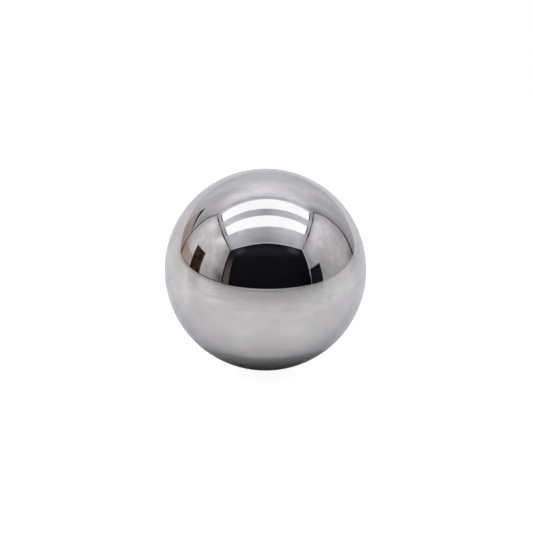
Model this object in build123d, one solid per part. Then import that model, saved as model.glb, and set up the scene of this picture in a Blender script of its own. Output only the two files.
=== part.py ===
from build123d import *
import os

# Loose steel ball: one solid sphere of hardened bearing steel, ground and lapped to a mirror.
# It is headed from wire and then ground as a single piece, so it has no seam, flat, hole or core.
# Units are millimetres. The origin is the centre of the ball and +Z points up.

# Driving dimension
BALL_DIAMETER = 25.0


def make_steel_ball() -> Part:
    """Turn the ball's section, a half disc that stands on the vertical axis, through a full circle."""
    ball_radius = BALL_DIAMETER / 2
    with BuildPart() as ball:
        with BuildSketch(Plane.XZ):
            with BuildLine():
                meridian = CenterArc((0, 0), ball_radius, start_angle=-90, arc_size=180)
                Line(meridian @ 1, meridian @ 0)
            make_face()
        revolve(axis=Axis.Z)
    ball.part.label = "steel_ball"
    return ball.part


os.makedirs("parts", exist_ok=True)
export_step(make_steel_ball(), "parts/steel_ball.step")
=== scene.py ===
"""Looks of the loose steel ball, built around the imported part.

The frame is in metres, +Z up, with its origin at the ball's centre. Sizes in the classes are millimetres.
The ball stands on a plain pale sheet in a light tent. A mirror shows only what is around it, so the tent's
two lamp panels, its silver lining and its dark open front are what give the steel its look.
"""

import logging
import math
from dataclasses import dataclass, field
from enum import Enum
from typing import Any, Protocol

import bmesh
import bpy
from mathutils import Matrix, Vector


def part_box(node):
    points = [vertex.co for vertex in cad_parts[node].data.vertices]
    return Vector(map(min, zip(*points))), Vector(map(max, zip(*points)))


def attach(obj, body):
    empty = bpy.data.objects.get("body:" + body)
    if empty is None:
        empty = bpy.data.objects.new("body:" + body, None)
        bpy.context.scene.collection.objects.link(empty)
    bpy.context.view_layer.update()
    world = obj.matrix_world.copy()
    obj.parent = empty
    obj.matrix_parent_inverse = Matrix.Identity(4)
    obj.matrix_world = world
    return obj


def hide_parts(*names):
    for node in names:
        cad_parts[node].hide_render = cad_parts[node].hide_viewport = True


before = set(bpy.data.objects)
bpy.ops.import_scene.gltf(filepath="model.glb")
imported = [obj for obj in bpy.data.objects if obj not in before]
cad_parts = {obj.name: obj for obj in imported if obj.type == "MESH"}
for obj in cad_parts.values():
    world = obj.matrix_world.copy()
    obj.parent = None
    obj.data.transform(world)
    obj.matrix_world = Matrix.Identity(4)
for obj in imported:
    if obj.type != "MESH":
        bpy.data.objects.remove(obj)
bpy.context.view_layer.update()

Triple = tuple[float, float, float]
Material = bpy.types.Material
Tree = bpy.types.NodeTree
# A socket's id_data is its node tree, so what builds on a socket isn't given the tree as well
Socket = bpy.types.NodeSocket
Shape = bmesh.types.BMesh
Vertex = bmesh.types.BMVert

MM = 0.001
WHITE = "FFFFFF"
# How near to an edge, in millimetres, a vertex counts as lying on it
EDGE_TOLERANCE = 1.0
# The standard curve of sRGB colours, in bytes: a straight toe and then a power
SRGB_TOP = 255
SRGB_TOE = 0.04045
SRGB_TOE_SLOPE = 12.92
SRGB_OFFSET = 0.055
SRGB_POWER = 2.4
log = logging.getLogger("steel_ball")


class Sight(Enum):
    """Who sees a piece of the stage, as the kinds of ray that meet it."""

    CAMERA = ("camera",)
    TENT = ("diffuse", "glossy", "transmission", "volume_scatter", "shadow")
    MIRROR = ("glossy",)


class Wall(Enum):
    """The upright sides of the tent."""

    LEFT = "left"
    RIGHT = "right"
    BACK = "back"
    FRONT = "front"


class Grade(Enum):
    """What a graded finish follows, as the axis whose distance from the ball's centre it reads."""

    ASIDE = "X"
    HEIGHT = "Z"


class Finish(Protocol):
    """Anything that can dress a piece."""

    def material(self) -> Material:
        """Return the finish as a material."""


def linear(hex_colour: str) -> tuple[float, float, float, float]:
    """Turn an sRGB hex colour into the linear colour that shader sockets hold.

    Args:
        hex_colour: six hex digits, such as "BEBDBE".

    Returns:
        Linear red, green, blue and an alpha of 1.
    """
    red, green, blue = (
        c / SRGB_TOE_SLOPE if c <= SRGB_TOE else ((c + SRGB_OFFSET) / (1 + SRGB_OFFSET)) ** SRGB_POWER
        for c in (byte / SRGB_TOP for byte in bytes.fromhex(hex_colour))
    )
    return (red, green, blue, 1.0)


def add_node(tree: Tree, kind: str, inputs: dict[Any, Any], **settings: Any) -> bpy.types.Node:
    """Add one node with its settings, and set or link its inputs.

    Args:
        tree: node tree that the node joins.
        kind: Blender's type name of the node.
        inputs: values by socket name or number, where an output socket is linked.
        settings: properties of the node itself.

    Returns:
        The new node.
    """
    node = tree.nodes.new(kind)
    for name, value in settings.items():
        setattr(node, name, value)
    for name, value in inputs.items():
        if isinstance(value, Socket):
            tree.links.new(value, node.inputs[name])
        else:
            node.inputs[name].default_value = value
    return node


def new_material(name: str) -> tuple[Material, Tree]:
    """Make an empty node material.

    Args:
        name: name of the material.

    Returns:
        The material and its node tree.
    """
    material = bpy.data.materials.new(name)
    material.use_nodes = True
    material.node_tree.nodes.clear()
    return material, material.node_tree


def new_object(name: str, shape: Shape, material: Material) -> bpy.types.Object:
    """Turn a finished bmesh into an object at the origin and free the bmesh.

    Args:
        name: name of the object.
        shape: the finished mesh, placed in the row frame.
        material: its material.

    Returns:
        The new object.
    """
    mesh = bpy.data.meshes.new(name)
    shape.to_mesh(mesh)
    shape.free()
    mesh.materials.append(material)
    piece = bpy.data.objects.new(name, mesh)
    bpy.context.scene.collection.objects.link(piece)
    return piece


def new_stage(name: str, shape: Shape, finish: Finish, sight: Sight = Sight.TENT) -> None:
    """Turn a finished bmesh into a piece of the stage and say who sees it.

    Args:
        name: name of the piece.
        shape: the finished mesh, placed in the row frame.
        finish: its finish.
        sight: who sees it.
    """
    piece = new_object(name, shape, finish.material())
    for ray in Sight.CAMERA.value + Sight.TENT.value:
        setattr(piece, f"visible_{ray}", ray in sight.value)
    log.info("stage %s", name)


def rectangle(left: float, right: float, near: float, far: float) -> tuple[tuple[float, float], ...]:
    """Corners of a rectangle, in order round its edge."""
    return ((left, near), (right, near), (right, far), (left, far))


def flat_panel(corners: list[Vector], cuts: int = 0) -> Shape:
    """Make a flat panel, cut into a grid where it is going to be bent.

    Args:
        corners: its four corners, in order round its edge.
        cuts: number of cuts across each side.

    Returns:
        The panel's mesh.
    """
    shape = bmesh.new()
    shape.faces.new([shape.verts.new(corner) for corner in corners])
    if cuts:
        bmesh.ops.subdivide_edges(shape, edges=shape.edges[:], cuts=cuts, use_grid_fill=True)
    return shape


def draw_out(shape: Shape, edges: list[bmesh.types.BMEdge], step: Vector) -> None:
    """Extrude a run of edges.

    Args:
        shape: mesh that has the edges.
        edges: the edges.
        step: how far and which way they go, in metres.
    """
    drawn = bmesh.ops.extrude_edge_only(shape, edges=edges)["geom"]
    bmesh.ops.translate(shape, verts=[item for item in drawn if isinstance(item, Vertex)], vec=step)


@dataclass(frozen=True)
class Mottle:
    """Soft uneven patches all over a surface, such as folds, smudges or a film, from their real size.

    Low and high are the levels of the pattern between which it counts as going from none to all.
    """

    patch_mm: float
    detail: float = 4.0
    grit: float = 0.5
    low: float = 0.35
    high: float = 0.65

    def pattern(self, place: Socket) -> Socket:
        """Add the pattern of patches.

        Args:
            place: coordinates of the surface.

        Returns:
            A value that wanders about one half.
        """
        scale = 1 / (self.patch_mm * MM)
        noise = add_node(
            place.id_data,
            "ShaderNodeTexNoise",
            {"Vector": place, "Scale": scale, "Detail": self.detail, "Roughness": self.grit},
        )
        return noise.outputs["Fac"]

    def spread(self, pattern: Socket, first: float = 0.0, last: float = 1.0) -> Socket:
        """Stretch the pattern from its low and high to two other numbers.

        Args:
            pattern: the pattern of patches.
            first: number at the pattern's low and under it.
            last: number at the pattern's high and over it.

        Returns:
            The stretched pattern.
        """
        levels = {"From Min": self.low, "From Max": self.high, "To Min": first, "To Max": last}
        stretched = add_node(pattern.id_data, "ShaderNodeMapRange", {"Value": pattern, **levels})
        return stretched.outputs["Result"]


@dataclass(frozen=True)
class LappedSteel:
    """Hardened chromium bearing steel, ground and then lapped between plates.

    To the eye it is a true mirror in neutral grey: it gives back about half the light, hardly more at the
    rim, and the edges in it stay sharp. Lapping leaves no bump that can be seen, only a thin film of oil
    and a haze that come and go over a few millimetres.
    """

    bright: str = "C4C3C4"
    dull: str = "BDBCBD"
    rim: str = "DFE0E4"
    film: Mottle = Mottle(patch_mm=5.0, detail=3.0)
    haze: Mottle = Mottle(patch_mm=2.0, low=0.0, high=1.0)
    clearest: float = 0.01
    haziest: float = 0.03

    def material(self) -> Material:
        """Make the steel's material.

        Returns:
            The material.
        """
        steel, tree = new_material("lapped_bearing_steel")
        place = add_node(tree, "ShaderNodeTexCoord", {}).outputs["Object"]
        film = self.film.pattern(place)
        colour = add_node(
            tree,
            "ShaderNodeMix",
            {"Factor": self.film.spread(film), "A": linear(self.bright), "B": linear(self.dull)},
            data_type="RGBA",
        )
        haze = self.haze.pattern(place)
        shader = add_node(
            tree,
            "ShaderNodeBsdfPrincipled",
            {
                "Base Color": colour.outputs["Result"],
                "Metallic": 1.0,
                "Roughness": self.haze.spread(haze, self.clearest, self.haziest),
                "Specular Tint": linear(self.rim),
            },
        )
        add_node(tree, "ShaderNodeOutputMaterial", {"Surface": shader.outputs["BSDF"]})
        return steel


@dataclass(frozen=True)
class Spot:
    """A round spot of a surface, with its centre and how far it reaches along each axis."""

    centre: Triple
    reach: Triple

    def share(self, place: Socket) -> Socket:
        """Add nodes for how strong the spot is.

        Args:
            place: coordinates of the surface.

        Returns:
            A value that is 1 at the centre and falls to 0 at the reach.
        """
        tree = place.id_data
        centred = add_node(
            tree,
            "ShaderNodeMapping",
            {
                "Vector": place,
                "Location": [size * MM for size in self.centre],
                "Scale": [size * MM for size in self.reach],
            },
            vector_type="TEXTURE",
        )
        falling = add_node(
            tree, "ShaderNodeTexGradient", {"Vector": centred.outputs["Vector"]}, gradient_type="SPHERICAL"
        )
        return falling.outputs["Fac"]


@dataclass(frozen=True)
class PaintedShadingSpot(Spot):
    """A spot of painted shading: another colour, darker as painted shade or lighter as painted sheen, soft,
    or with a firm edge where only part of its reach fades.
    """

    colour: str
    fading_share: float = 1.0

    def laid_on(self, colour: Socket, place: Socket) -> Socket:
        """Lay the spot of painted shading over a colour.

        Args:
            colour: the colour under it.
            place: coordinates of the surface.

        Returns:
            The colour with the painted shading.
        """
        tree = place.id_data
        strength = add_node(
            tree, "ShaderNodeMapRange", {"Value": self.share(place), "From Max": self.fading_share}
        )
        shaded = add_node(
            tree,
            "ShaderNodeMix",
            {"Factor": strength.outputs["Result"], "A": colour, "B": linear(self.colour)},
            data_type="RGBA",
        )
        return shaded.outputs["Result"]


@dataclass(frozen=True)
class PaintedLightPatch(Spot):
    """A soft spot of painted light that glows more than the rest of its surface, or of painted shade that
    glows less, where its glow is negative.
    """

    glow: float

    def added_to(self, strength: float | Socket, place: Socket) -> Socket:
        """Add the patch to a glow.

        Args:
            strength: the glow's strength without it.
            place: coordinates of the surface.

        Returns:
            The glow's strength with it.
        """
        terms = {0: self.share(place), 1: self.glow, 2: strength}
        total = add_node(place.id_data, "ShaderNodeMath", terms, operation="MULTIPLY_ADD")
        return total.outputs["Value"]


@dataclass(frozen=True)
class StageFinish:
    """What the finishes of the stage share: two colours in soft patches, with spots of painted shading and a
    glow.
    """

    name: str
    colour: str
    shade: str
    mottle: Mottle
    roughness: float
    painted_shading: tuple[PaintedShadingSpot, ...] = ()
    patches: tuple[PaintedLightPatch, ...] = ()

    def shade_share(self, place: Socket, pattern: Socket) -> Socket:
        """Return how much of the shade colour shows: here more in one patch and less in the next."""
        return self.mottle.spread(pattern)

    def glow_strength(self, place: Socket) -> float | Socket:
        """Return the strength of the glow without its patches: here none."""
        return 0.0

    def details(self, colour: Socket, pattern: Socket) -> dict[str, Any]:
        """Return what else the shader is given: here nothing."""
        return {}

    def material(self) -> Material:
        """Make the finish's material.

        Returns:
            The material.
        """
        finish, tree = new_material(self.name)
        place = add_node(tree, "ShaderNodeTexCoord", {}).outputs["Object"]
        pattern = self.mottle.pattern(place)
        mixed = add_node(
            tree,
            "ShaderNodeMix",
            {"Factor": self.shade_share(place, pattern), "A": linear(self.colour), "B": linear(self.shade)},
            data_type="RGBA",
        )
        colour = mixed.outputs["Result"]
        for shading_spot in self.painted_shading:
            colour = shading_spot.laid_on(colour, place)
        glow = self.glow_strength(place)
        for patch in self.patches:
            glow = patch.added_to(glow, place)
        surface = {"Base Color": colour, "Roughness": self.roughness, "Emission Strength": glow}
        shader = add_node(tree, "ShaderNodeBsdfPrincipled", surface | self.details(colour, pattern))
        add_node(tree, "ShaderNodeOutputMaterial", {"Surface": shader.outputs["BSDF"]})
        return finish


@dataclass(frozen=True)
class Cloth(StageFinish):
    """Cloth, or a plain matt piece such as tape or card, that may lie in soft folds."""

    mottle: Mottle = Mottle(patch_mm=90.0, low=0.3, high=0.7)
    roughness: float = 0.9
    metallic: float = 0.0
    gloss_level: float = 0.1
    fold_depth_mm: float = 4.0

    def details(self, colour: Socket, pattern: Socket) -> dict[str, Any]:
        """Add a bump for the folds.

        Args:
            colour: the cloth's colour, which its glow has too.
            pattern: the pattern of folds.

        Returns:
            What else the shader is given, by socket name.
        """
        depth = self.fold_depth_mm * MM
        bump = add_node(pattern.id_data, "ShaderNodeBump", {"Height": pattern, "Distance": depth})
        return {
            "Metallic": self.metallic,
            "Specular IOR Level": self.gloss_level,
            "Normal": bump.outputs["Normal"],
            "Emission Color": colour,
        }


@dataclass(frozen=True)
class GradedCloth(Cloth):
    """Cloth that changes with height, or from the middle of the tent to its sides."""

    grade: Grade = Grade.HEIGHT
    start_mm: float = 0.0
    end_mm: float = 330.0

    def graded(self, place: Socket, first: float, last: float) -> Socket:
        """Add nodes for a value that changes between the cloth's two distances.

        Args:
            place: coordinates of the surface.
            first: the value at the first distance.
            last: the value at the last distance.

        Returns:
            The value.
        """
        tree = place.id_data
        parts = add_node(tree, "ShaderNodeSeparateXYZ", {"Vector": place})
        away = add_node(tree, "ShaderNodeMath", {0: parts.outputs[self.grade.value]}, operation="ABSOLUTE")
        run = {"From Min": self.start_mm * MM, "From Max": self.end_mm * MM}
        ends = {"To Min": first, "To Max": last}
        grade = add_node(tree, "ShaderNodeMapRange", {"Value": away.outputs["Value"], **run, **ends})
        return grade.outputs["Result"]


@dataclass(frozen=True)
class GradedFelt(GradedCloth):
    """Matt felt with a grade of painted light and shade: the shade colour at its first distance, the other at
    its last.
    """

    def shade_share(self, place: Socket, pattern: Socket) -> Socket:
        """Return how much of the shade colour shows: all of it at first, and none at last."""
        return self.graded(place, 1.0, 0.0)


@dataclass(frozen=True)
class SilverLining(GradedCloth):
    """Nylon with a silver face: a wide blurred mirror over a matt white, with a graded glow that is painted
    light.
    """

    metallic: float = 0.3
    roughness: float = 0.45
    start_glow: float = 0.0
    end_glow: float = 0.0

    def glow_strength(self, place: Socket) -> Socket:
        """Return the strength of the glow without its patches: here graded."""
        return self.graded(place, self.start_glow, self.end_glow)


@dataclass(frozen=True)
class SheetPlastic(StageFinish):
    """White PVC sheet with a satin face: pale all over, faintly smudged, with a soft gloss at low angles.

    Spots of painted shade darken it in front of the ball and round where it stands. Its glow is even all
    over, for an evenly bright floor, or painted light that rises to its back edge and lies in patches.
    """

    mottle: Mottle = Mottle(patch_mm=10.0, detail=6.0, grit=0.62)
    roughness: float = 0.24
    ior: float = 1.5
    glow: float = 0.0
    back_glow: float = 0.0
    back_start: float = 0.0
    back_end: float = 1.0

    def glow_strength(self, place: Socket) -> float | Socket:
        """Add nodes for the sheet's glow where it isn't even.

        Args:
            place: coordinates of the surface.

        Returns:
            The strength of the glow without its patches.
        """
        if not self.back_glow:
            return self.glow
        tree = place.id_data
        parts = add_node(tree, "ShaderNodeSeparateXYZ", {"Vector": place})
        run = {"From Min": self.back_start * MM, "From Max": self.back_end * MM}
        ends = {"To Min": self.glow, "To Max": self.back_glow}
        rising = add_node(tree, "ShaderNodeMapRange", {"Value": parts.outputs["Y"], **run, **ends})
        return rising.outputs["Result"]

    def details(self, colour: Socket, pattern: Socket) -> dict[str, Any]:
        """Return what else the shader is given: the plastic's gloss, and white as its glow."""
        return {"IOR": self.ior, "Emission Color": linear(WHITE)}


@dataclass(frozen=True)
class LampDiffuser:
    """Opal acrylic over a lamp panel: even white light from its whole face."""

    name: str
    strength: float
    colour: str = WHITE

    def material(self) -> Material:
        """Make the diffuser's material.

        Returns:
            The material.
        """
        opal, tree = new_material(self.name)
        light = add_node(
            tree, "ShaderNodeEmission", {"Color": linear(self.colour), "Strength": self.strength}
        )
        add_node(tree, "ShaderNodeOutputMaterial", {"Surface": light.outputs["Emission"]})
        return opal


@dataclass(frozen=True)
class TentPlan:
    """Main sizes of the light tent, with walls measured from the ball's axis and heights from the floor."""

    floor: float
    left: float = 383.0
    right: float = 367.0
    front: float = 303.0
    back: float = 207.0
    roof_front: float = 351.0
    roof_back: float = 418.0
    curtain_gap: float = 5.0
    layer: float = 1.0

    @property
    def roof_rise(self) -> float:
        """How much higher the roof is at the back than at the front."""
        return self.roof_back - self.roof_front

    @property
    def roof_slope(self) -> float:
        """Angle in radians at which the roof rises to the back."""
        return math.atan2(self.roof_rise, self.back + self.front)

    def roof(self, y: float) -> float:
        """Height of the sloping roof at a distance behind the ball."""
        share = (y + self.front) / (self.back + self.front)
        return self.roof_front + share * self.roof_rise

    def point(self, x: float, y: float, height: float) -> Vector:
        """Place in the frame, in metres, of a point given from the ball's axis and the floor."""
        return Vector((x, y, self.floor + height)) * MM

    def wall_point(self, wall: Wall, along: float, height: float, inset: float) -> Vector:
        """Place in the frame, in metres, of a point on or near a wall.

        Args:
            wall: the wall.
            along: distance along it from the ball's axis, to the right or to the back.
            height: height over the floor.
            inset: distance from the wall into the tent.

        Returns:
            The point.
        """
        if wall is Wall.LEFT:
            return self.point(-self.left + inset, along, height)
        if wall is Wall.RIGHT:
            return self.point(self.right - inset, along, height)
        if wall is Wall.BACK:
            return self.point(along, self.back - inset, height)
        return self.point(along, -self.front + inset, height)

    def bow_share(self, vertex: Vertex, power: float = 2.0) -> float:
        """Share of a bow's depth at a vertex: all of it at the middle, none at the side walls.

        Args:
            vertex: the vertex.
            power: how round the bow is. 2 gives a parabola, and less a straighter bow.

        Returns:
            The share.
        """
        middle = (self.right - self.left) / 2
        half = (self.right + self.left) / 2
        return 1 - abs((vertex.co.x / MM - middle) / half) ** power


# Where the walls' spots lie, and how far a spot reaches through its wall: more than the wall leans or bows
LEFT_X = -TentPlan.left
RIGHT_X = TentPlan.right
BACK_Y = TentPlan.back
CURTAIN_Y = -TentPlan.front - TentPlan.curtain_gap
THROUGH = 100.0

# Folds of the side walls, whose nylon is stretched tighter than the rest
TIGHT_FOLDS = Mottle(patch_mm=60.0, low=0.3, high=0.7)
TIGHT_FOLD_DEPTH = 3.0

# Silver-coated nylon on the left wall: a soft pale sheen, with painted light near the lamps and painted shade
# low at the front
LEFT_LINING = SilverLining(
    "silver_nylon_left", "EFECEC", "D6D4D3",
    mottle=TIGHT_FOLDS,
    fold_depth_mm=TIGHT_FOLD_DEPTH,
    start_glow=0.2,
    end_glow=0.08,
    patches=(
        PaintedLightPatch((LEFT_X, 90.0, 170.0), (THROUGH, 110.0, 150.0), 0.2),
        PaintedLightPatch((LEFT_X, 40.0, 315.0), (THROUGH, 130.0, 90.0), 0.2),
        PaintedLightPatch((LEFT_X, -160.0, 290.0), (THROUGH, 80.0, 80.0), -0.14),
        PaintedLightPatch((LEFT_X, -150.0, 135.0), (THROUGH, 90.0, 80.0), 0.32),
        PaintedLightPatch((LEFT_X, -250.0, 20.0), (THROUGH, 90.0, 120.0), -0.2),
        PaintedLightPatch((LEFT_X, -110.0, 0.0), (THROUGH, 70.0, 50.0), -0.15),
    ),
    # A darker spot low at the front: painted shade
    painted_shading=(PaintedShadingSpot((LEFT_X, -275.0, 30.0), (THROUGH, 105.0, 105.0), "8C8A88"),),
)
# The same nylon on the right wall, with painted light towards the roof and painted shade low at the back
RIGHT_LINING = SilverLining(
    "silver_nylon_right", "EDEBEC", "D4D3D3",
    mottle=TIGHT_FOLDS,
    fold_depth_mm=TIGHT_FOLD_DEPTH,
    end_glow=0.2,
    patches=(
        PaintedLightPatch((RIGHT_X, 75.0, 55.0), (THROUGH, 70.0, 60.0), 0.1),
        PaintedLightPatch((RIGHT_X, -85.0, 165.0), (THROUGH, 120.0, 90.0), -0.13),
        PaintedLightPatch((RIGHT_X, -215.0, 215.0), (THROUGH, 70.0, 110.0), 0.2),
        PaintedLightPatch((RIGHT_X, -20.0, 335.0), (THROUGH, 150.0, 80.0), 0.2),
    ),
    # A darker spot low at the back: painted shade
    painted_shading=(PaintedShadingSpot((RIGHT_X, 160.0, 0.0), (THROUGH, 60.0, 45.0), "A8A6A6"),),
)
# The same nylon on the back wall, with painted light brightest in the middle and painted shade at its ends
BACK_LINING = SilverLining(
    "silver_nylon_back", "F1F0F2", "D4D3D5",
    grade=Grade.ASIDE,
    start_glow=0.37,
    end_glow=0.02,
    patches=(
        PaintedLightPatch((4.0, BACK_Y, 380.0), (190.0, THROUGH, 110.0), -0.1),
        PaintedLightPatch((230.0, BACK_Y, 380.0), (150.0, THROUGH, 110.0), 0.15),
        PaintedLightPatch((0.0, BACK_Y, 70.0), (260.0, THROUGH, 80.0), 0.12),
        PaintedLightPatch((-145.0, BACK_Y, 175.0), (120.0, THROUGH, 90.0), -0.24),
        PaintedLightPatch((310.0, BACK_Y, 160.0), (100.0, THROUGH, 120.0), -0.05),
        PaintedLightPatch((95.0, BACK_Y, 260.0), (60.0, THROUGH, 70.0), 0.08),
        PaintedLightPatch((240.0, BACK_Y, 35.0), (120.0, THROUGH, 60.0), -0.06),
        PaintedLightPatch((-150.0, BACK_Y, 290.0), (90.0, THROUGH, 90.0), -0.08),
    ),
    # Darker spots at both ends: painted shade
    painted_shading=(
        PaintedShadingSpot((-330.0, BACK_Y, 230.0), (110.0, THROUGH, 140.0), "C4C3C4"),
        PaintedShadingSpot((335.0, BACK_Y, 310.0), (90.0, THROUGH, 120.0), "C4C3C5"),
    ),
)
# The same nylon on the roof, in a cooler grey, with painted shade between the lamps and at its edges and
# painted light elsewhere
ROOF_LINING = SilverLining(
    "silver_nylon_roof", "E4E4EA", "D8D8DE",
    grade=Grade.ASIDE,
    end_mm=260.0,
    start_glow=0.26,
    end_glow=0.56,
    patches=(
        PaintedLightPatch((-5.0, 0.0, 380.0), (90.0, 70.0, 100.0), -0.28),
        PaintedLightPatch((-190.0, 180.0, 402.0), (150.0, 60.0, 60.0), 0.16),
        PaintedLightPatch((200.0, 170.0, 402.0), (160.0, 60.0, 60.0), 0.18),
        PaintedLightPatch((0.0, -310.0, 340.0), (420.0, 90.0, 100.0), -0.24),
        PaintedLightPatch((150.0, -160.0, 355.0), (150.0, 60.0, 60.0), 0.36),
        PaintedLightPatch((125.0, -240.0, 345.0), (110.0, 70.0, 100.0), 0.24),
        PaintedLightPatch((-195.0, -145.0, 358.0), (60.0, 40.0, 60.0), 0.28),
        PaintedLightPatch((-395.0, -50.0, 375.0), (100.0, 400.0, 200.0), -0.7),
        PaintedLightPatch((380.0, -50.0, 375.0), (100.0, 400.0, 200.0), -0.7),
    ),
)
# White nylon tape, woven: satin, with painted light that rises towards its top
WHITE_HEM = SilverLining(
    "white_nylon_tape", "F4F4F4", "E8E8E8", metallic=0.0, end_glow=0.5, start_mm=70.0, end_mm=230.0
)
# Cotton velvet, its pile cut: almost black, with painted sheen that makes it lighter and cooler towards its
# top and in its upper corners
VELVET = GradedFelt(
    "black_cotton_velvet", "30323F", "111115",
    start_mm=210.0,
    end_mm=345.0,
    # Lighter spots in the upper corners: painted sheen
    painted_shading=(
        PaintedShadingSpot((-245.0, CURTAIN_Y, 305.0), (80.0, 60.0, 60.0), "484A56"),
        PaintedShadingSpot((240.0, CURTAIN_Y, 310.0), (85.0, 60.0, 60.0), "565864"),
    ),
)
# Pressed wool felt, dyed black: matt, in soft folds
BLACK_FELT = Cloth("black_wool_felt", "282A30", "1C1D22")
# Pressed wool felt, dyed grey: warm and paler at its foot, where light falls on it, and near black above
GREY_FELT = GradedFelt("grey_wool_felt", "28282E", "80776C", start_mm=30.0, end_mm=240.0)
# Pressed wool felt, dyed brown: dark, and blotched every few centimetres
BROWN_FELT = Cloth("brown_wool_felt", "5C4432", "1A181A", Mottle(patch_mm=36.0, low=0.3, high=0.7))
# Moulded grey ABS: matt and nearly even
LAMP_CAP = Cloth("grey_abs", "8A8A90", "7E7E84", fold_depth_mm=0.0)
# A plain matt grey for the fine line of painted shadow along the sheet's turned-up edge
EDGE_SHADOW_GREY = Cloth("painted_edge_shadow", "909092", "828284", fold_depth_mm=0.0)
# Woven cotton tape, dark brown: matt, and a little uneven where it is folded over a seam
DARK_TAPE = Cloth("brown_cotton_tape", "362B20", "261D15")
# Kraft card, uncoated: pale warm brown, nearly flat
KRAFT_CARD = Cloth("kraft_card", "DED0BF", "CEBFAD", fold_depth_mm=1.0)
# A dark brown wedge over the top of the back card: painted shadow along the card's top edge
CARD_EDGE_SHADOW = Cloth("card_edge_painted_shadow", "5E4A34", "423426", fold_depth_mm=1.0)


@dataclass
class SteelBall:
    """The ball: one sphere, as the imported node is, with a finer mesh so that the mirror shows no facets."""

    node: str = "steel_ball"
    slot: str = "polished_steel"
    piece: str = "lapped_ball"
    subdivisions: int = 7
    finish: LappedSteel = field(default_factory=LappedSteel)

    @property
    def radius_mm(self) -> float:
        """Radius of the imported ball."""
        low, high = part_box(self.node)
        return (high.z - low.z) / 2 / MM

    def build(self) -> bpy.types.Object:
        """Build the ball, dress it and put it in the node's place.

        Returns:
            The ball's object.
        """
        shape = bmesh.new()
        bmesh.ops.create_icosphere(shape, subdivisions=self.subdivisions, radius=self.radius_mm * MM)
        for face in shape.faces:
            face.smooth = True
        ball = new_object(self.piece, shape, self.finish.material())
        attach(ball, "root")
        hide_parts(self.node)
        return ball


@dataclass(frozen=True)
class WallPiece:
    """A flat piece that stands against a wall of the tent, from one place along it to another."""

    name: str
    wall: Wall
    finish: Cloth
    start: float
    end: float
    height: float
    rise: float = 0.0
    foot: float = 0.0
    inset: float = 0.0

    def build(self, plan: TentPlan) -> None:
        """Build the piece in the tent.

        Args:
            plan: the tent's sizes.
        """
        corners = [
            plan.wall_point(self.wall, along, height, self.inset)
            for along, height in (
                (self.start, self.foot),
                (self.end, self.foot),
                (self.end, self.height + self.rise),
                (self.start, self.height),
            )
        ]
        new_stage(self.name, flat_panel(corners), self.finish)


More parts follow.
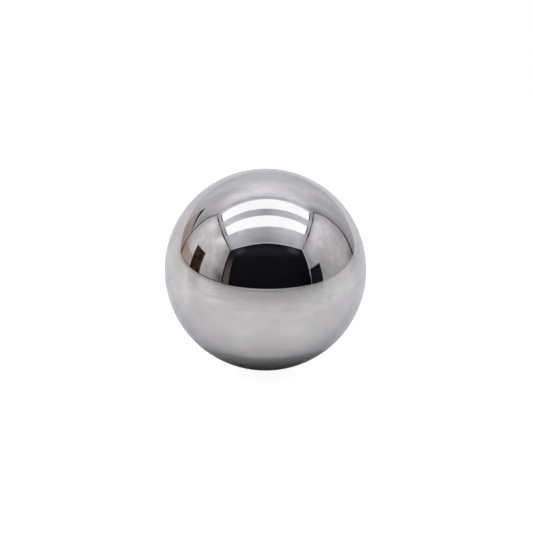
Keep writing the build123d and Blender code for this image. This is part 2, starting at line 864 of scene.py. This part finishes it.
@dataclass
class FloorSheet:
    """The pale sheet that the ball stands on.

    Its back edge is turned up against the wall, highest near the middle. Its front and left edges lift a
    little.
    """

    plan: TentPlan
    cuts: int = 23
    turn_radius: float = 116.0
    turn_deg: float = 68.0
    turn_steps: int = 12
    rise_middle: float = -70.0
    rise_half: float = 331.0
    front_lip: float = 10.0
    front_run: float = 60.0
    left_lip: float = 9.0
    left_run: float = 70.0
    skin: float = 0.02
    edge_shadow_height: float = 1.0
    edge_shadow_off: float = 3.0
    # Glow of the turned-up back edge: painted light
    back_glow: float = 0.14
    seen: SheetPlastic = SheetPlastic("backlit_white_pvc", "8A8A8A", "8A8A8A", glow=0.945)

    @property
    def turn_y(self) -> float:
        """Where the sheet begins to turn up."""
        return self.plan.back - self.turn_radius * math.sin(math.radians(self.turn_deg))

    def mirrored_finish(self) -> SheetPlastic:
        """Make the finish of the sheet as the ball mirrors it.

        Returns:
            White PVC, with painted shade in front of the ball and right under it, and painted light at its
            sides and back.
        """
        floor = self.plan.floor
        return SheetPlastic(
            "white_pvc_sheet",
            "F9F8F7",
            "E6E5E4",
            back_glow=self.back_glow,
            back_start=self.turn_y,
            back_end=self.plan.back,
            # Painted shade: darker towards the front, in front of the ball, beside it, and in a firm-edged
            # spot under it
            painted_shading=(
                PaintedShadingSpot((0.0, -230.0, floor), (300.0, 90.0, 60.0), "DCDADA"),
                PaintedShadingSpot((0.0, -75.0, floor), (60.0, 60.0, 60.0), "E0DEDE"),
                PaintedShadingSpot((-24.0, -8.0, floor), (18.0, 14.0, 14.0), "DEDDDC"),
                PaintedShadingSpot((24.0, -8.0, floor), (18.0, 14.0, 14.0), "DEDDDC"),
                PaintedShadingSpot((0.0, 0.0, floor), (9.3, 9.3, 9.3), "D2D2D2", fading_share=0.06),
            ),
            # Painted light: patches of glow at the sides, just behind the ball and in the back corners
            patches=(
                PaintedLightPatch((-200.0, 40.0, floor), (180.0, 150.0, 60.0), 0.26),
                PaintedLightPatch((200.0, 40.0, floor), (180.0, 150.0, 60.0), 0.14),
                PaintedLightPatch((-50.0, 28.0, floor), (45.0, 45.0, 45.0), 0.1),
                PaintedLightPatch((55.0, 28.0, floor), (45.0, 45.0, 45.0), 0.09),
                PaintedLightPatch((-190.0, 185.0, 0.0), (130.0, 70.0, 60.0), 0.12),
                PaintedLightPatch((150.0, 185.0, 10.0), (150.0, 70.0, 60.0), 0.2),
            ),
        )

    def panel(self, left: float, front: float, height: float, cuts: int) -> Shape:
        """Make a level panel as far as the right wall and the line where the sheet turns up.

        Args:
            left: place of its left edge.
            front: place of its front edge.
            height: height over the floor.
            cuts: number of cuts across each side.

        Returns:
            The panel's mesh.
        """
        places = rectangle(left, self.plan.right, front, self.turn_y)
        return flat_panel([self.plan.point(x, y, height) for x, y in places], cuts)

    def lift_edges(self, shape: Shape) -> None:
        """Lift the front and left edges of the sheet, and press its turned back edge down at the sides.

        Args:
            shape: the sheet's mesh.
        """
        plan = self.plan
        floor = plan.floor * MM
        for vertex in shape.verts:
            x, y = vertex.co.x / MM, vertex.co.y / MM
            rise_share = max(1 - ((x - self.rise_middle) / self.rise_half) ** 2, 0)
            vertex.co.z = floor + (vertex.co.z - floor) * rise_share
            front_share = max(1 - (y + plan.front) / self.front_run, 0) ** 2 * plan.bow_share(vertex)
            left_share = max(1 - (x + plan.left) / self.left_run, 0) ** 2
            vertex.co.z += (self.front_lip * front_share + self.left_lip * left_share) * MM

    def build_mirrored(self) -> None:
        """Build the sheet that the ball mirrors, with a line of painted shadow along its back edge."""
        shape = self.panel(-self.plan.left, -self.plan.front, 0, self.cuts)
        turn_line = (self.turn_y - EDGE_TOLERANCE) * MM
        edges = [edge for edge in shape.edges if all(v.co.y > turn_line for v in edge.verts)]
        bmesh.ops.spin(
            shape,
            geom=[*{vertex for edge in edges for vertex in edge.verts}, *edges],
            cent=self.plan.point(0, self.turn_y, self.turn_radius),
            axis=(1, 0, 0),
            angle=math.radians(self.turn_deg),
            steps=self.turn_steps,
        )
        self.lift_edges(shape)
        for face in shape.faces:
            face.smooth = True
        self.build_edge_shadow(shape)
        new_stage("floor_sheet", shape, self.mirrored_finish())

    def build_edge_shadow(self, sheet: Shape) -> None:
        """Lay a narrow grey strip along the sheet's turned-up edge: a fine line of painted shadow against the
        wall.

        Args:
            sheet: the finished sheet.
        """
        back_line = (self.plan.back - EDGE_TOLERANCE) * MM
        places = [vertex.co.copy() for vertex in sheet.verts if vertex.co.y > back_line]
        shape = bmesh.new()
        line = [shape.verts.new(place) for place in sorted(places, key=lambda place: place.x)]
        edges = [shape.edges.new(pair) for pair in zip(line, line[1:])]
        draw_out(shape, edges, Vector((0, 0, self.edge_shadow_height * MM)))
        bmesh.ops.translate(shape, verts=shape.verts[:], vec=(0, -self.edge_shadow_off * MM, 0))
        new_stage("sheet_edge_shadow", shape, EDGE_SHADOW_GREY)

    def build(self) -> None:
        """Build the sheet as the ball mirrors it, and its level part as the camera sees it."""
        self.build_mirrored()
        level_left, level_front = self.left_run - self.plan.left, self.front_run - self.plan.front
        level = self.panel(level_left, level_front, self.skin, 0)
        new_stage("floor_in_view", level, self.seen, Sight.CAMERA)


@dataclass
class TentShell:
    """Silver-lined walls and roof of the tent, with taped corners."""

    plan: TentPlan
    cloth_cuts: int = 15
    hem: float = 8.0
    hem_bow: float = 28.5
    hem_power: float = 1.2
    back_bow: float = 28.0
    back_lean: float = 34.0
    lean_power: float = 4.0
    tape_sides: int = 8
    left_corner_tape: tuple[float, ...] = (13.0, 6.0, 4.0, 7.0, 7.0, 5.0, 3.5)
    right_corner_tape: tuple[float, ...] = (15.0, 9.0, 7.0, 5.5, 4.5, 4.0, 3.5)
    left_roof_tape: tuple[float, ...] = (3.0, 9.0, 3.0, 8.0, 6.0, 5.0)
    right_roof_tape: tuple[float, ...] = (6.0, 8.0, 4.0, 8.0, 3.0, 3.0)
    floor_tape: tuple[float, ...] = (3.0, 5.0)
    floor_tape_up: float = 9.0

    def build_side_walls(self) -> None:
        """Stretch the two side walls, whose tops rise to the back with the roof."""
        plan = self.plan
        front, back, top = -plan.front, plan.back, plan.roof_front
        for name, wall, lining in (
            ("left_wall", Wall.LEFT, LEFT_LINING),
            ("right_wall", Wall.RIGHT, RIGHT_LINING),
        ):
            WallPiece(name, wall, lining, front, back, top, plan.roof_rise).build(plan)

    def lean_share(self, height: float) -> float:
        """Share of the back wall's lean and bow at a height over the floor: all of it at the roof."""
        return (height / self.plan.roof_back) ** self.lean_power

    def back_reach(self, vertex: Vertex) -> float:
        """How far into the tent the top of the back wall leans and bows above or below a vertex."""
        return self.back_lean + self.back_bow * self.plan.bow_share(vertex)

    def build_back_wall(self) -> None:
        """Stretch the back wall, which leans in at the top and bows in with the roof."""
        plan = self.plan
        places = rectangle(-plan.left, plan.right, 0, plan.roof_back)
        shape = flat_panel([plan.point(x, plan.back, z) for x, z in places], self.cloth_cuts)
        for vertex in shape.verts:
            vertex.co.y -= self.back_reach(vertex) * MM * self.lean_share(vertex.co.z / MM - plan.floor)
        new_stage("back_wall", shape, BACK_LINING)

    def build_roof(self) -> None:
        """Stretch the roof, whose front and back edges bow in, and turn its hem down."""
        plan = self.plan
        places = rectangle(-plan.left, plan.right, -plan.front, plan.back)
        shape = flat_panel([plan.point(x, y, plan.roof(y)) for x, y in places], self.cloth_cuts)
        back_line = (plan.back - EDGE_TOLERANCE) * MM
        front_line = (EDGE_TOLERANCE - plan.front) * MM
        for vertex in shape.verts:
            if vertex.co.y > back_line:
                vertex.co.y -= self.back_reach(vertex) * MM
        edges = [edge for edge in shape.edges if all(v.co.y < front_line for v in edge.verts)]
        for vertex in {vertex for edge in edges for vertex in edge.verts}:
            vertex.co.y += self.hem_bow * MM * plan.bow_share(vertex, self.hem_power)
        draw_out(shape, edges, Vector((0, 0, -self.hem * MM)))
        new_stage("roof", shape, ROOF_LINING)

    def lay_tape(self, shape: Shape, points: list[Vector], radii: tuple[float, ...]) -> None:
        """Lay tape along a line of points.

        Args:
            shape: mesh that the tape joins.
            points: the points, in metres.
            radii: half the tape's width at each point.
        """
        for start, end, start_radius, end_radius in zip(points, points[1:], radii, radii[1:]):
            along = end - start
            turn = along.to_track_quat("Z", "Y").to_matrix().to_4x4()
            bmesh.ops.create_cone(
                shape,
                segments=self.tape_sides,
                radius1=start_radius * MM,
                radius2=end_radius * MM,
                depth=along.length,
                matrix=Matrix.Translation((start + end) / 2) @ turn,
            )

    def build_tapes(self) -> None:
        """Tape the tent's corners: wider at the floor, where the cloth gapes, and uneven above."""
        plan = self.plan
        shape = bmesh.new()
        floor_run = [plan.point(-plan.left, y, self.floor_tape_up) for y in (plan.back, -plan.front)]
        self.lay_tape(shape, floor_run, self.floor_tape)
        for x, corner_radii, roof_radii in (
            (-plan.left, self.left_corner_tape, self.left_roof_tape),
            (plan.right, self.right_corner_tape, self.right_roof_tape),
        ):
            steps = len(corner_radii) - 1
            heights = [plan.roof_back * step / steps for step in range(steps + 1)]
            corner = [plan.point(x, plan.back - self.back_lean * self.lean_share(h), h) for h in heights]
            self.lay_tape(shape, corner, corner_radii)
            front_top = plan.point(x, -plan.front, plan.roof_front)
            last = len(roof_radii) - 1
            roof_run = [corner[-1].lerp(front_top, step / last) for step in range(last + 1)]
            self.lay_tape(shape, roof_run, roof_radii)
        new_stage("corner_tapes", shape, DARK_TAPE)

    def build(self) -> None:
        """Build the walls, the roof and the tapes."""
        self.build_side_walls()
        self.build_back_wall()
        self.build_roof()
        self.build_tapes()


@dataclass
class FeltPorts:
    """A port low in either side wall, closed with a flap of felt."""

    plan: TentPlan
    left_front: float = -59.0
    left_back: float = 48.0
    left_height: float = 145.0
    right_front: float = -296.0
    right_back: float = -170.0
    right_height: float = 128.0

    def build(self) -> None:
        """Hang both flaps, one layer in from their walls."""
        left = (self.left_front, self.left_back, self.left_height)
        right = (self.right_front, self.right_back, self.right_height)
        for name, wall, felt, sizes in (
            ("left_port", Wall.LEFT, BROWN_FELT, left),
            ("right_port", Wall.RIGHT, BLACK_FELT, right),
        ):
            WallPiece(name, wall, felt, *sizes, inset=self.plan.layer).build(self.plan)


@dataclass
class CornerCard:
    """A card that stands in the left back corner, folded to lie against both walls."""

    plan: TentPlan
    side_front: float = 52.0
    side_height: float = 75.0
    side_rise: float = 17.0
    back_right: float = -207.0
    back_height: float = 136.0
    back_rise: float = 14.0
    shadow_height: float = 3.0
    shadow_rise: float = 29.0

    def build(self) -> None:
        """Stand the card's two leaves in the corner, and lay a wedge of painted shadow over the top of the
        back one.
        """
        plan, layer, left, right = self.plan, self.plan.layer, -self.plan.left, self.back_right
        shadow_top = self.back_height + self.shadow_height
        leaves = (
            WallPiece(
                "side_card", Wall.LEFT, KRAFT_CARD,
                self.side_front, plan.back, self.side_height, self.side_rise, inset=layer,
            ),
            WallPiece(
                "back_card", Wall.BACK, KRAFT_CARD,
                left, right, self.back_height, self.back_rise, inset=layer,
            ),
            WallPiece(
                "back_card_shadow", Wall.BACK, CARD_EDGE_SHADOW,
                left, right, shadow_top, self.shadow_rise, foot=self.back_height, inset=2 * layer,
            ),
        )
        for leaf in leaves:
            leaf.build(plan)


@dataclass
class OpenFront:
    """The tent's open front: a dark curtain behind, a grey flap at its left, a white hem at its right."""

    plan: TentPlan
    curtain_over: float = 50.0
    flap_in: float = 16.0
    flap_right: float = -290.0
    flap_fall: float = 51.0
    hem_width: float = 5.0
    hem_foot: float = 70.0

    def build(self) -> None:
        """Hang the hem, the flap and the curtain."""
        plan = self.plan
        left, right, top = -plan.left, plan.right, plan.roof_front
        behind = -plan.curtain_gap
        hangings = (
            WallPiece(
                "right_hem", Wall.FRONT, WHITE_HEM,
                right - self.hem_width, right, top, foot=self.hem_foot,
            ),
            WallPiece(
                "front_flap", Wall.FRONT, GREY_FELT,
                left + self.flap_in, self.flap_right, top, -self.flap_fall, inset=behind + plan.layer,
            ),
            WallPiece(
                "front_curtain", Wall.FRONT, VELVET,
                left, right, top + self.curtain_over, inset=behind,
            ),
        )
        for hanging in hangings:
            hanging.build(plan)


@dataclass
class LampPanel:
    """One long lamp panel just under the roof, with a row of bulbs behind an opal face.

    The face is only there for the mirror of the ball. The bulbs, an area light, do the lighting. They may
    stand further forward than the face, and they shine down and not on the roof.
    """

    plan: TentPlan
    name: str
    front: float
    back: float
    bow: float
    bulbs_forward: float
    radiance: float
    face: LampDiffuser = LampDiffuser("opal_acrylic", 1.82)
    left: float = 327.0
    right: float = 316.0
    bulbs_left: float = 40.0
    cap: float = 12.0
    drop: float = 3.0
    cuts: int = 15

    def strip(self, left: float, right: float) -> Shape:
        """Make the panel's face, or a cap of it, between two places across the tent.

        Args:
            left: the place on the left.
            right: the place on the right.

        Returns:
            The strip's mesh.
        """
        plan = self.plan
        places = rectangle(left, right, self.front, self.back)
        shape = flat_panel([plan.point(x, y, plan.roof(y) - self.drop) for x, y in places], self.cuts)
        for vertex in shape.verts:
            vertex.co.y -= self.bow * MM * plan.bow_share(vertex)
        return shape

    def build_face(self) -> None:
        """Build the opal face that the ball mirrors, with a cap at either end."""
        for part, left, right, finish in (
            ("face", -self.left, self.right, self.face),
            ("left_cap", -self.left - self.cap, -self.left, LAMP_CAP),
            ("right_cap", self.right, self.right + self.cap, LAMP_CAP),
        ):
            new_stage(f"{self.name}_{part}", self.strip(left, right), finish, Sight.MIRROR)

    def build_bulbs(self) -> None:
        """Set the light of the bulbs under the roof, along its slope."""
        plan = self.plan
        bulbs = bpy.data.lights.new(f"{self.name}_bulbs", "AREA")
        bulbs.shape = "RECTANGLE"
        bulbs.size = (self.left + self.right) * MM
        bulbs.size_y = (self.back - self.front) * MM
        bulbs.energy = self.radiance * math.pi * bulbs.size * bulbs.size_y
        lamp = bpy.data.objects.new(bulbs.name, bulbs)
        bpy.context.scene.collection.objects.link(lamp)
        y = (self.front + self.back) / 2 - self.bulbs_forward
        x = (self.right - self.left) / 2 - self.bulbs_left
        middle = plan.point(x, y, plan.roof(y) - self.drop)
        lamp.matrix_world = Matrix.Translation(middle) @ Matrix.Rotation(plan.roof_slope, 4, "X")
        lamp.visible_camera = False
        lamp.visible_glossy = False
        log.info("light %s", lamp.name)

    def build(self) -> None:
        """Build the face and the bulbs."""
        self.build_face()
        self.build_bulbs()


@dataclass
class BackLamp(LampPanel):
    """The lamp panel behind the ball, whose face bows to the front."""

    name: str = "back_lamp"
    front: float = 31.0
    back: float = 131.0
    bow: float = 10.0
    bulbs_forward: float = 0.0
    radiance: float = 2.1


@dataclass
class FrontLamp(LampPanel):
    """The lamp panel in front of the ball, whose bulbs stand forward of its face."""

    name: str = "front_lamp"
    front: float = -130.0
    back: float = -39.0
    bow: float = 0.0
    bulbs_forward: float = 65.0
    radiance: float = 4.9


@dataclass
class Backdrop:
    """Plain white beyond the floor. Only the camera sees it, so it adds no light."""

    name: str = "white_backdrop"
    colour: str = WHITE
    unlit_rays: tuple[str, ...] = ("diffuse", "glossy", "transmission", "scatter")

    def build(self) -> None:
        """Set the world behind the stage and the plain colour transform."""
        scene = bpy.context.scene
        world = bpy.data.worlds.new(self.name)
        scene.world = world
        world.use_nodes = True
        world.node_tree.nodes.clear()
        plain = add_node(world.node_tree, "ShaderNodeBackground", {"Color": linear(self.colour)})
        add_node(world.node_tree, "ShaderNodeOutputWorld", {"Surface": plain.outputs["Background"]})
        for ray in self.unlit_rays:
            setattr(world.cycles_visibility, ray, False)
        scene.view_settings.view_transform = "Standard"
        log.info("world %s", self.name)


@dataclass
class PhotoCamera:
    """Camera that frames the ball as the photograph does. Pixels are those of its 533 by 533 frame."""

    ball_radius: float
    name: str = "photo_camera"
    frame_px: float = 533.0
    ball_x_px: float = 265.52
    ball_y_px: float = 269.4
    ball_radius_px: float = 101.2
    distance: float = 625.0
    elevation_deg: float = 21.14
    azimuth_deg: float = -1.93
    roll_deg: float = 0.72
    sensor: float = 36.0
    clip_end: float = 10000.0

    @property
    def focal_px(self) -> float:
        """Focal length, in pixels, at which the ball has its size in the frame."""
        half_angle = math.asin(self.ball_radius / self.distance)
        return self.ball_radius_px / math.tan(half_angle)

    @property
    def away(self) -> Vector:
        """Direction from the ball to the camera."""
        turn, rise = math.radians(self.azimuth_deg), math.radians(self.elevation_deg)
        return Vector((math.sin(turn) * math.cos(rise), -math.cos(turn) * math.cos(rise), math.sin(rise)))

    def build(self) -> bpy.types.Object:
        """Place the camera and make it the scene's own.

        Returns:
            The camera's object.
        """
        facing = self.away.to_track_quat("Z", "Y").to_matrix()
        facing = facing @ Matrix.Rotation(math.radians(self.roll_deg), 3, "Z")
        right_px = self.frame_px / 2 - self.ball_x_px
        up_px = self.ball_y_px - self.frame_px / 2
        aside = facing @ Vector((right_px, up_px, 0)) * self.distance / self.focal_px
        lens = bpy.data.cameras.new(self.name)
        lens.sensor_width = self.sensor
        lens.lens = self.focal_px * self.sensor / self.frame_px
        lens.clip_end = self.clip_end * MM
        camera = bpy.data.objects.new(self.name, lens)
        bpy.context.scene.collection.objects.link(camera)
        place = (self.away * self.distance + aside) * MM
        camera.matrix_world = Matrix.Translation(place) @ facing.to_4x4()
        bpy.context.scene.camera = camera
        return camera


def main() -> None:
    """Build the ball, the tent round it, the backdrop and the camera."""
    logging.basicConfig(level=logging.INFO, format="%(name)s: %(message)s")
    ball = SteelBall()
    piece = ball.build()
    log.info("piece %s with %d faces", piece.name, len(piece.data.polygons))
    plan = TentPlan(floor=-ball.radius_mm)
    for assembly in (FloorSheet, TentShell, FeltPorts, CornerCard, OpenFront, BackLamp, FrontLamp):
        assembly(plan).build()
    Backdrop().build()
    camera = PhotoCamera(ball_radius=ball.radius_mm).build()
    log.info("camera %s", camera.name)


if __name__ == "__main__":
    main()
